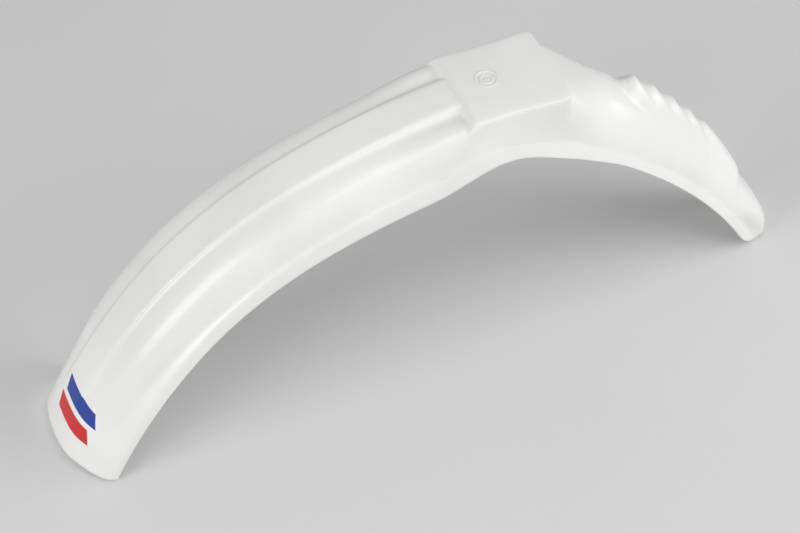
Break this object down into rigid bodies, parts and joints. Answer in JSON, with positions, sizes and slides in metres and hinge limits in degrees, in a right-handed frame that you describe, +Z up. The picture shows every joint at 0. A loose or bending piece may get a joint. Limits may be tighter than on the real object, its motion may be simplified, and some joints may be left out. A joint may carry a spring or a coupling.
{
  "type": "motorcycle front mudguard",
  "caption": "Moulded front mudguard for an off-road motorcycle: an arched channel with a flat bolting platform, a raised panel down the front, louvre steps over the tail and a turned-down lip.",
  "frame": {"origin": "on the floor below the middle of the overall box, with nose and tail both standing on the floor", "axes": "+X forward to the nose, +Y to the rider's left, +Z up out of the platform"},
  "size_m": [0.7554, 0.146, 0.3137],
  "materials": {
    "plastic": "smooth moulded gloss"
  },
  "bodies": {
    "root": {"mudguard": "plastic"}
  },
  "joints": []
}
